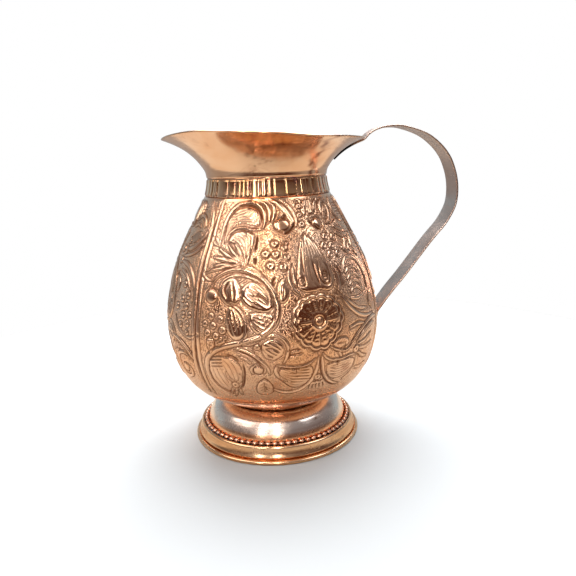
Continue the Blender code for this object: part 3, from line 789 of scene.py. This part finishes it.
def worked_share(z, degrees):
    """1 where the belly is worked, and 0 at its two ends and under the strap's tail."""
    band = unit((z - 0.0465) / 0.004) * unit((0.1735 - z) / 0.002)
    off = np.abs((degrees - 90.0 + 180.0) % 360.0 - 180.0)
    beside_tail = unit((off - 8.5) / 2.5)
    below_tail = unit((0.070 - z) / 0.003)
    above_tail = unit((z - 0.104) / 0.004)
    return band * np.maximum(np.maximum(beside_tail, below_tail), above_tail)


def worked_belly():
    """The belly's outline, its relief in millimetres, and how deep, proud and bare each point is."""
    pattern = Pattern()
    for turns, keep in ((PANEL_TURNS, None), (FILL_TURNS, FILL_SPAN)):
        for turn in turns:
            pattern.turn = turn
            pattern.keep = keep
            pattern.draw()
    cover = worked_share(pattern.line[:, 1][:, None], np.degrees(pattern.u / BELLY_MM)[None, :])
    height = (pattern.high - pattern.cut) * cover
    wide = soften(height, 12)
    fields = {
        "patina_and_shade": unit(unit(pattern.cut * cover / 0.5) * 0.8 + unit((wide - height) / 0.5) * 0.4),
        "polish_and_highlight": unit((height - wide) / 0.3),
        "ground": unit(1.0 - pattern.high / 0.08) * cover,
    }
    return pattern.line, height, fields


# ---------------------------------------------------------------- mesh building


def grid_object(name, points, values=None, close_rows=True):
    """A smooth-shaded piece from a grid of points that closes round the jug, and top to bottom if asked."""
    rows, cols, _ = points.shape
    mesh = bpy.data.meshes.new(name)
    mesh.vertices.add(rows * cols)
    mesh.vertices.foreach_set("co", points.astype(np.float32).ravel())
    last = rows if close_rows else rows - 1
    i = np.arange(last)[:, None]
    j = np.arange(cols)[None, :]
    here = i * cols
    up = ((i + 1) % rows) * cols
    after = (j + 1) % cols
    quads = np.stack([here + j, here + after, up + after, up + j], axis=-1).reshape(-1, 4)
    mesh.loops.add(quads.size)
    mesh.loops.foreach_set("vertex_index", quads.ravel().astype(np.int32))
    mesh.polygons.add(len(quads))
    mesh.polygons.foreach_set("loop_start", np.arange(0, quads.size, 4, dtype=np.int32))
    mesh.polygons.foreach_set("use_smooth", np.ones(len(quads), bool))
    mesh.update(calc_edges=True)
    mesh.validate()
    for key, field in (values or {}).items():
        layer = mesh.attributes.new(key, "FLOAT", "POINT")
        layer.data.foreach_set("value", field.astype(np.float32).ravel())
    return add_object(name, mesh)


def add_object(name, data):
    obj = bpy.data.objects.new(name, data)
    bpy.context.scene.collection.objects.link(obj)
    return obj


def angles(count):
    """Even steps once round, in radians."""
    return np.arange(count) * 2 * math.pi / count


def turned(r, z, angle):
    """Points at these radii and heights, rows up and columns round the jug's axis."""
    return np.stack([AXIS_X + r * np.cos(angle), r * np.sin(angle), z + 0 * angle], axis=-1)


def swept(line, angle):
    """Points of an outline carried round the jug's axis."""
    return turned(line[:, 0][:, None], line[:, 1][:, None], angle)


def padded(fields, before, after):
    """The fields with so many plain rows added before and after."""
    return {key: np.pad(field, ((before, after), (0, 0))) for key, field in fields.items()}


def make_belly():
    """Chased skin, plain inside wall and flat double floor, as one closed shell."""
    line, height, fields = worked_belly()
    run = headings(line)
    lift = (height - 0.30 * unit((line[:, 1] - 0.046) / 0.006)[:, None]) / 1000.0
    r = line[:, 0][:, None] + run[:, 1][:, None] * lift
    z = line[:, 1][:, None] - run[:, 0][:, None] * lift
    angle = angles(AROUND) - math.pi / 2
    wall = offset(even_line(BELLY, 40), WALL * 1.6)
    wall = wall[wall[:, 1] > 0.0345][::-1]
    wall[0] = (0.0436 - WALL, 0.1745)
    inner = np.vstack([wall, BELLY_FLOOR])
    under = np.asarray(BELLY_UNDER)
    points = np.concatenate([swept(under, angle), turned(r, z, angle), swept(inner, angle)], axis=0)
    return grid_object("belly_worked", points, padded(fields, len(under), len(inner)))


def make_collar():
    """Fluted collar: uneven lobes with round lower ends, each joint marked with a punched dot."""
    rows = 34
    line = even_line(COLLAR, rows)
    angle = angles(FLUTES * FLUTE_COLS)
    drift = 0.9 * np.sin(7 * angle + 0.6) + 0.5 * np.sin(13 * angle + 2.0)
    count = np.arange(len(angle)) / FLUTE_COLS + drift
    x = np.abs(count[None, :] % 1.0 - 0.5) * FLUTE_PITCH
    up = np.linspace(0.0, 1.0, rows)[:, None] * 12.2
    swell = 0.8 + 0.3 * np.sin(np.floor(count) * 2.4)[None, :]
    foot = 2.4 - np.sqrt(unit(1 - (x / 3.3) ** 2)) * 2.0
    lobe = np.sqrt(unit(1 - (x / 3.25) ** 2))
    inside = unit((up - foot) / 0.9)
    top = unit((12.0 - up) / 1.2)
    edge = bell(up - foot, 0.5) * (up < 6.0)
    dot = bell(np.hypot(x - 3.3, up - 1.0), 0.55)
    groove = bell(3.3 - x, 0.42) * unit((up - 1.6) / 1.0) * top
    height = 0.75 * swell * lobe * inside * top + 0.35 * edge - 0.6 * dot - 0.15 * groove
    height -= 0.35 * bell(up - 11.3, 0.4)
    skin = turned(line[:, 0][:, None] + (height - 0.55) / 1000.0, line[:, 1][:, None], angle)
    fields = {
        # Painted shadow: the top band, just under the mouth's flare, is darkened; the dots, grooves and ground
        # below the lobes are dark hollows.
        "patina_and_shade": unit(dot + 0.4 * groove + 0.5 * (1 - inside) * (1 - edge) + 0.7 * (1 - top)),
        "polish_and_highlight": unit(edge + (lobe - 0.85) * 3 * inside),
    }
    points = np.concatenate([skin, swept(np.asarray(COLLAR_BACK), angle)], axis=0)
    return grid_object("neck_fluted", points, padded(fields, 0, len(COLLAR_BACK)))


def flare_line(from_lip, steps):
    """Closed wall section of the mouth at so many degrees round from the lip, rim rounded."""
    rim_r = smooth_value(RIM_AT, RIM_R, from_lip)
    rim_z = smooth_value(RIM_AT, RIM_Z, from_lip)
    flare_r = MOUTH_LOW_R + (rim_r - MOUTH_LOW_R) * np.asarray(FLARE_G)
    flare_z = MOUTH_LOW_Z + (rim_z - MOUTH_LOW_Z) * np.asarray(FLARE_T)
    outer = even_line(np.stack([flare_r, flare_z], axis=1), steps)
    inner = offset(outer, WALL)
    inner[0] = (MOUTH_LOW_R - WALL, MOUTH_LOW_Z)
    run = outer[-1] - outer[-2]
    run /= np.linalg.norm(run)
    side = np.array([-run[1], run[0]])
    middle = outer[-1] + side * WALL / 2
    bead = []
    for step in range(1, 8):
        a = math.pi * step / 8
        bead.append(middle + run * math.sin(a) * 0.0005 - side * math.cos(a) * WALL / 2)
    return np.vstack([outer, bead, inner[::-1]])


def make_mouth():
    """Flared mouth with a slightly wavy rim, a brown streak on the right and a smudge on the left."""
    angle = angles(MOUTH_COLS)
    lines = np.stack([flare_line(abs(180.0 - math.degrees(a)), 34) for a in angle], axis=1)
    r = lines[:, :, 0]
    wave = 0.00010 * np.sin(angle * 5 + 0.7) + 0.00008 * np.sin(angle * 9 + 2.0)
    z = lines[:, :, 1] + wave[None, :] * unit((r - 0.048) / 0.02)
    degrees = np.degrees(angle)[None, :] - 270.0
    high = (z - 0.187) * 1000.0
    streak_at = 36.0 + 2.4 * np.sin(high * 0.55) + 1.2 * np.sin(high * 1.7 + 1.0)
    streak = bell(degrees - streak_at, 2.4) * (0.75 + 0.25 * np.sin(high * 1.1))
    smudge_at = -12.0 + 8.0 * np.sin(high * 0.8)
    smudge = 0.5 * bell(degrees - smudge_at, 1.6) * bell(high - 12.0, 5.0)
    return grid_object("mouth_spun", turned(r, z, angle), {"stain": unit(streak + smudge)})


def make_turned(name, section, per_span):
    """A plain ring turned from a closed section, never below the floor."""
    line = closed_section(section, per_span)
    line[:, 1] = np.maximum(line[:, 1], 0.0)
    return grid_object(name, swept(line, angles(COLS)))


def make_trumpet():
    """Domed foot, warmer beside the beads, with a dark spot and a faint cloud on its right side."""
    outer = even_line(TRUMPET, 90)
    inner = offset(outer, WALL)
    inner[0] = outer[0] - (WALL, 0.0)
    inner[-1] = outer[-1] - (WALL, 0.0)
    points = swept(np.vstack([outer, inner[::-1]]), angles(COLS))
    z = points[:, :, 2] * 1000.0
    degrees = np.degrees(np.arctan2(points[:, :, 1], points[:, :, 0] - AXIS_X)) + 90.0
    spot = bell(degrees - 30.0, 2.2) * bell(z - 22.3 - 0.12 * (degrees - 30.0), 0.8)
    cloud = bell(degrees - 54.0, 5.0) * bell(z - 25.0, 1.4)
    values = {"tint": unit((17.4 - z) / 1.6), "stain": unit(spot + 0.5 * cloud)}
    return grid_object("foot_spun", points, values)


def make_beads():
    """Row of round beads rising from one wire."""
    angle = angles(BEADS * BEAD_COLS)
    across = (np.arange(len(angle)) % BEAD_COLS) / BEAD_COLS - 0.5
    pitch = 2 * math.pi * BEAD_R / BEADS
    lump = np.sqrt(unit(1 - (across * pitch / (BEAD_SIZE * 1.12)) ** 2))[None, :]
    size = BEAD_SIZE * (0.35 + 0.65 * lump)
    turn = angles(16)[:, None]
    points = turned(BEAD_R + size * np.cos(turn), BEAD_Z + size * np.sin(turn) * 1.05, angle)
    # Painted shade between the beads, and a painted highlight on each bead's top half.
    fields = {"patina_and_shade": unit(1.0 - lump * 1.25) + 0 * turn, "polish_and_highlight": unit(np.sin(turn) * lump)}
    return grid_object("foot_beads", points, fields)


def strap_bend(share, r):
    """How tightly the strap curves sideways to lie round the body, at its two ends."""
    top = float(unit((0.22 - share) / 0.06))
    tail = max(0.0, (share - 0.86) / 0.14)
    return max(top, tail) / r


def strap_outline(half):
    """Places round the strap's section with eased edges, as (sideways, depth)."""
    outline = []
    for side in (-1.0, 1.0):
        edge = side * -(half - STRAP_EASE)
        depth = 0.0 if side < 0 else STRAP_THICK
        for y in np.linspace(-edge, edge, 15):
            outline.append((y, depth))
        for a in (30, 60, 90, 120, 150):
            turn = math.radians(a)
            swing = STRAP_THICK / 2 * (1 - math.cos(turn))
            swing = swing if side < 0 else STRAP_THICK - swing
            outline.append((edge + math.copysign(STRAP_EASE * math.sin(turn), edge), swing))
    return outline


def end_cap(row, shares):
    """Copies of an end row drawn in towards its middle."""
    middle = row.mean(axis=0)
    return np.stack([middle + (row - middle) * share for share in shares])


def make_strap():
    """Flat strap with a slight crown, its ends laid round the body and its upper end darkened as painted
    shadow.
    """
    path = even_line(STRAP, STRAP_STEPS)
    chord = np.concatenate([[0.0], np.cumsum(np.linalg.norm(np.diff(np.asarray(STRAP), axis=0), axis=1))])
    shares = np.interp(np.linspace(0.0, chord[-1], STRAP_STEPS), chord, np.linspace(0.0, 1.0, len(STRAP)))
    run = headings(path)
    inward = np.stack([run[:, 1], -run[:, 0]], axis=1)
    rows = []
    for i, share in enumerate(shares):
        half = float(np.interp(share, STRAP_AT, STRAP_WIDTH)) / 2
        near_end = min(i, STRAP_STEPS - 1 - i) / 6.0
        half *= math.sqrt(min(1.0, 0.15 + near_end))
        bend = strap_bend(share, path[i][0])
        row = []
        for y, depth in strap_outline(half):
            crown = 0.00012 * (1 - (y / half) ** 2) if depth < STRAP_THICK / 2 else 0.0
            at = path[i] + inward[i] * (depth - crown)
            row.append((AXIS_X + at[0] - bend * y * y / 2, y, at[1]))
        rows.append(row)
    body = np.asarray(rows)
    points = np.concatenate([end_cap(body[0], (0.02, 0.6)), body, end_cap(body[-1], (0.6, 0.02))], axis=0)
    # Painted shadow: the upper end, tucked under the mouth's flare, fades to near black.
    dark = np.concatenate([[1.0, 1.0], unit((0.115 - shares) / 0.035), [0.0, 0.0]])
    fields = {"patina_and_shade": dark[:, None] + 0 * points[:, :, 0]}
    return grid_object("strap_bent", points, fields, close_rows=False)


# ---------------------------------------------------------------- finishes


class Nodes:
    """Adds nodes to one tree. A value is a number, a colour of three numbers, or another node's output."""

    def __init__(self, tree):
        self.tree = tree

    def add(self, kind, **inputs):
        node = self.tree.nodes.new("ShaderNode" + kind)
        for name, value in inputs.items():
            self.put(value, node.inputs[name.replace("_", " ")])
        return node

    def put(self, value, socket):
        if isinstance(value, bpy.types.NodeSocket):
            self.tree.links.new(value, socket)
        elif socket.type == "RGBA":
            socket.default_value = (*value, 1.0)
        else:
            socket.default_value = value

    def remap(self, source, low, high, to_low=0.0, to_high=1.0):
        node = self.add("MapRange", Value=source, From_Min=low, From_Max=high, To_Min=to_low, To_Max=to_high)
        return node.outputs["Result"]

    def math(self, kind, a, b):
        node = self.add("Math")
        node.operation = kind
        self.put(a, node.inputs[0])
        self.put(b, node.inputs[1])
        return node.outputs[0]

    def blend(self, factor, a, b):
        """Colour a where the factor is 0, and b where it is 1."""
        node = self.add("Mix")
        node.data_type = "RGBA"
        for index, value in ((0, factor), (6, a), (7, b)):
            self.put(value, node.inputs[index])
        return node.outputs[2]

    def camera_ray(self):
        return self.add("LightPath").outputs["Is Camera Ray"]


class Finish(Nodes):
    """Builds one metal material step by step, in the object's own coordinates."""

    def __init__(self, name):
        self.material = bpy.data.materials.new(name)
        self.material.use_nodes = True
        super().__init__(self.material.node_tree)
        self.place = self.add("TexCoord").outputs["Object"]

    def noise(self, scale, detail, rough, stretch=None, distort=0.0):
        place = self.place
        if stretch:
            place = self.add("Mapping", Vector=place, Scale=stretch).outputs["Vector"]
        node = self.add("TexNoise", Vector=place, Scale=scale, Detail=detail, Roughness=rough)
        self.put(distort, node.inputs["Distortion"])
        return node.outputs["Fac"]

    def cells(self, scale):
        return self.add("TexVoronoi", Vector=self.place, Scale=scale).outputs["Distance"]

    def field(self, name):
        """A value stored on the mesh, or 0 where the mesh has none by that name."""
        node = self.add("Attribute")
        node.attribute_name = name
        return node.outputs["Fac"]

    def add_share(self, base, source, share):
        return self.math("ADD", base, self.math("MULTIPLY", source, share))

    def bump(self, height, distance, strength, under=None):
        node = self.add("Bump", Strength=strength, Distance=distance, Height=height)
        if under is not None:
            self.put(under, node.inputs["Normal"])
        return node.outputs["Normal"]

    def done(self, colour, roughness, normal):
        inputs = self.tree.nodes["Principled BSDF"].inputs
        inputs["Metallic"].default_value = 1.0
        self.put(colour, inputs["Base Color"])
        self.put(roughness, inputs["Roughness"])
        self.put(normal, inputs["Normal"])
        return self.material


def worked_copper(name, tones, rough, blush=RED_BLUSH, blush_share=0.4):
    """Chased copper: lighter high points (polish, and a painted highlight on the beads' tops), brown hollows
    (patina, and painted shade between the beads and under the mouth), stippled ground, redder clouds.
    """
    light, warm, dark = tones
    f = Finish(name)
    patina_and_shade = f.field("patina_and_shade")
    ground = f.field("ground")
    patch = f.noise(70.0, 3.0, 0.6)
    colour = f.blend(f.remap(f.noise(26.0, 4.0, 0.6, distort=0.6), 0.36, 0.66), warm, light)
    colour = f.blend(f.remap(patch, 0.54, 0.70, 0.0, blush_share), colour, blush)
    grain = f.math("MULTIPLY", f.remap(f.cells(1050.0), 0.10, 0.55, 1.0, 0.0), ground)
    colour = f.blend(f.math("MULTIPLY", grain, 0.5), colour, dark)
    # Darker hollows: patina in the belly's cuts, painted shade between the beads and under the mouth's flare.
    colour = f.blend(f.math("MULTIPLY", patina_and_shade, 0.9), colour, dark)
    # Lighter high points: polish on the belly and collar, a painted highlight on the beads' tops.
    colour = f.blend(f.math("MULTIPLY", f.field("polish_and_highlight"), 0.5), colour, light)
    rough_all = f.remap(patch, 0.3, 0.7, rough - 0.04, rough + 0.08)
    rough_all = f.add_share(rough_all, patina_and_shade, 0.22)
    rough_all = f.add_share(rough_all, ground, 0.06)
    dents = f.bump(f.noise(150.0, 2.0, 0.5), 0.0003, 0.4)
    peck = f.bump(grain, 0.00025, 0.8, dents)
    skin = f.bump(f.noise(900.0, 3.0, 0.6), 0.00003, 0.5, peck)
    return f.done(colour, rough_all, skin)


def spun_copper(name, tones, rough, stain_share=0.35, ring=1.0, spotted=0.6):
    """Turned or hammered copper with faint tool rings, smears and a few dark spots."""
    light, warm, stain = tones
    f = Finish(name)
    smear = f.noise(34.0, 5.0, 0.65, (1.0, 1.0, 2.6), 1.6)
    fine = f.noise(700.0, 3.0, 0.6)
    colour = f.blend(f.remap(f.noise(20.0, 4.0, 0.6, distort=1.2), 0.36, 0.64), warm, light)
    colour = f.blend(f.remap(smear, 0.56, 0.72, 0.0, stain_share), colour, stain)
    colour = f.blend(f.remap(f.noise(240.0, 2.0, 0.5), 0.72, 0.80, 0.0, spotted), colour, SPOT_TONE)
    colour = f.blend(f.field("tint"), colour, WARM_TINT)
    colour = f.blend(f.field("stain"), colour, stain)
    # Painted shadow: where the mesh marks it, as on the strap's upper end, the colour goes to near black.
    colour = f.blend(f.field("patina_and_shade"), colour, SHADOW_BLACK)
    rough_all = f.remap(smear, 0.3, 0.7, rough - 0.05, rough + 0.11)
    rough_all = f.math("ADD", rough_all, f.remap(fine, 0.3, 0.7, -0.03, 0.04))
    dents = f.bump(f.noise(62.0, 1.5, 0.4), 0.0005, 0.35)
    tool_lines = f.bump(f.noise(9.0, 2.0, 0.5, (1.0, 1.0, 170.0)), 0.00006 * ring, 0.5, dents)
    skin = f.bump(fine, 0.000012, 0.5, tool_lines)
    return f.done(colour, rough_all, skin)


def set_material(obj, material):
    obj.data.materials.clear()
    obj.data.materials.append(material)


# ---------------------------------------------------------------- stage, lights, camera


def make_floor():
    """Pale round table top, shown paler in the picture than in the jug's reflections."""
    rim = turned(FLOOR_R, 0.0, angles(FLOOR_SIDES)).tolist()
    wedges = [(0, 1 + i, 1 + (i + 1) % FLOOR_SIDES) for i in range(FLOOR_SIDES)]
    mesh = bpy.data.meshes.new("studio_floor")
    mesh.from_pydata([[AXIS_X, 0.0, 0.0]] + rim, [], wedges)
    material = bpy.data.materials.new("pale_floor")
    material.use_nodes = True
    n = Nodes(material.node_tree)
    inputs = n.tree.nodes["Principled BSDF"].inputs
    inputs["Roughness"].default_value = 0.9
    inputs["Specular IOR Level"].default_value = 0.1
    n.put(n.blend(n.camera_ray(), FLOOR_TONE, FLOOR_SHOWN), inputs["Base Color"])
    mesh.materials.append(material)
    add_object("studio_floor", mesh)


def make_world():
    """White to the camera. In reflections a room: warm and dark in front, paler behind, above and below."""
    world = bpy.data.worlds.new("studio")
    bpy.context.scene.world = world
    world.use_nodes = True
    n = Nodes(world.node_tree)
    axes = n.add("SeparateXYZ", Vector=n.add("TexCoord").outputs["Generated"]).outputs
    ramp = n.add("ValToRGB", Fac=n.remap(axes["Y"], -1.0, 1.0))
    stops = ramp.color_ramp.elements
    for index, position, colour in ((0, 0.22, ROOM_FRONT), (1, 0.74, ROOM_BACK)):
        stops[index].position = position
        stops[index].color = (*colour, 1.0)
    stops.new(0.52).color = (*ROOM_SIDE, 1.0)
    table = n.math("MULTIPLY", n.remap(axes["Z"], 0.01, -0.03), n.remap(axes["Y"], -0.75, -0.35))
    room = n.blend(table, ramp.outputs["Color"], TABLE_TONE)
    room = n.blend(n.remap(axes["Z"], 0.14, 0.50), room, ROOM_HIGH)
    shown = n.blend(n.camera_ray(), room, WHITE)
    n.put(shown, n.tree.nodes["Background"].inputs["Color"])


def add_light(name, azimuth, elevation, distance, width, height, power, colour):
    """An area light facing the jug, seen from it at these degrees: azimuth 0 is -Y, positive towards +X."""
    data = bpy.data.lights.new(name, "AREA")
    data.shape = "RECTANGLE"
    data.size = width
    data.size_y = height
    data.energy = power
    data.color = colour
    a = math.radians(azimuth - 90.0)
    e = math.radians(elevation)
    way = Vector((math.cos(a) * math.cos(e), math.sin(a) * math.cos(e), math.sin(e)))
    obj = add_object(name, data)
    obj.location = LIGHTS_AIM + way * distance
    obj.rotation_euler = way.to_track_quat("Z", "Y").to_euler()


def make_camera():
    """Camera at the photo's angle, its tilt given by yaw, pitch and roll in degrees."""
    yaw = math.radians(CAMERA_YAW)
    pitch = math.radians(CAMERA_PITCH)
    roll = math.radians(CAMERA_ROLL)
    ahead = Vector((math.sin(yaw) * math.cos(pitch), math.cos(yaw) * math.cos(pitch), -math.sin(pitch)))
    level = Vector((math.cos(yaw), -math.sin(yaw), 0.0))
    above = level.cross(ahead)
    right = level * math.cos(roll) + above * math.sin(roll)
    top = above * math.cos(roll) - level * math.sin(roll)
    data = bpy.data.cameras.new("photo_camera")
    data.sensor_width = CAMERA_SENSOR
    data.lens = CAMERA_LENS
    data.clip_start = 0.01
    obj = add_object("photo_camera", data)
    turn = Matrix((right, top, -ahead)).transposed().to_4x4()
    obj.matrix_world = Matrix.Translation(CAMERA_AT) @ turn
    bpy.context.scene.camera = obj


def set_view():
    view = bpy.context.scene.view_settings
    view.view_transform = "Standard"
    view.look = "None"
    view.exposure = 0.0


def make_pieces():
    """Each finer piece with its finish, the CAD node it stands for, and the record's material slot."""
    chased = worked_copper("chased_copper", CHASED_TONES, 0.15)
    beaded = worked_copper("bead_copper", BEAD_TONES, 0.18)
    fluted = worked_copper("collar_copper", COLLAR_TONES, 0.13, PLUM_BLUSH, 0.9)
    bright = spun_copper("mouth_copper", MOUTH_TONES, 0.15, 0.45)
    golden = spun_copper("skirt_copper", SKIRT_TONES, 0.19)
    silvery = spun_copper("foot_copper", FOOT_TONES, 0.20)
    aged_and_shaded = spun_copper("strap_copper_aged_and_shaded", STRAP_TONES, 0.30, 0.45, 0.2, 0.3)
    return (
        (make_belly(), chased, "belly", "worked_copper"),
        (make_collar(), fluted, "neck_collar", "worked_copper"),
        (make_mouth(), bright, "mouth_flare", "polished_copper"),
        (make_strap(), aged_and_shaded, "handle_strap", "strap_copper"),
        (make_turned("waist_collar", BASE_COLLAR, 6), golden, "base_collar", "polished_copper"),
        (make_trumpet(), silvery, "foot_trumpet", "pale_copper"),
        (make_beads(), beaded, "bead_ring", "worked_copper"),
        (make_turned("skirt_band", SKIRT, 5), golden, "foot_skirt", "polished_copper"),
        (make_turned("rolled_ring", BASE_RING, 5), golden, "base_ring", "pale_copper"),
    )


def main():
    make_camera()
    make_floor()
    make_world()
    for light in LIGHTS:
        add_light(*light)
    set_view()
    for piece, material, node, slot in make_pieces():
        set_material(piece, material)
        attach(piece, "root")
        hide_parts(node)
        set_material(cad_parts[node], material)


main()
